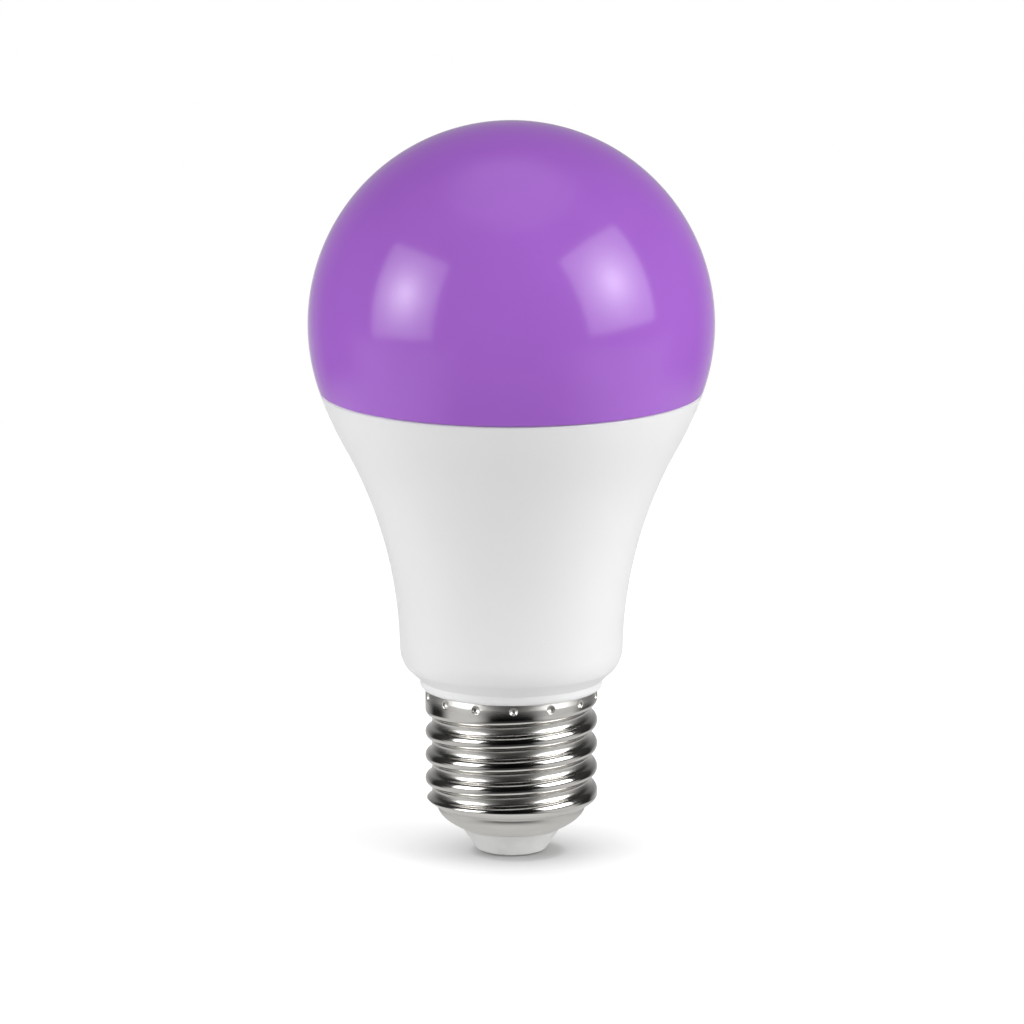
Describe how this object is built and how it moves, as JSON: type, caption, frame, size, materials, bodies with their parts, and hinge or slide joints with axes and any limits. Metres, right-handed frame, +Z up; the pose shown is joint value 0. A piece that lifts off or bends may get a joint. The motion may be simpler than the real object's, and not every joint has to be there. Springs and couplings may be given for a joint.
{
  "type": "coloured led bulb",
  "caption": "LED lamp with an opaque purple domed diffuser, a flared white housing and a rolled screw cap that threads into a lamp holder.",
  "frame": {"origin": "where the lamp's axis meets the surface that it stands on, at the underside of the centre contact", "axes": "+Z up the lamp's axis from the contact to the dome; the thread is right-handed about it"},
  "size_m": [0.0614, 0.0614, 0.1122],
  "materials": {
    "contact_metal": "plated, lightly rubbed",
    "insulator_plastic": "matt off-white moulding",
    "plated_sheet": "bright nickel plate, rolled",
    "housing_plastic": "satin white moulding",
    "diffuser_plastic": "glossy opaque purple moulding"
  },
  "bodies": {
    "root": {"centre_contact": "contact_metal", "insulator": "insulator_plastic", "screw_shell": "plated_sheet", "housing": "housing_plastic", "diffuser": "diffuser_plastic"}
  },
  "joints": []
}
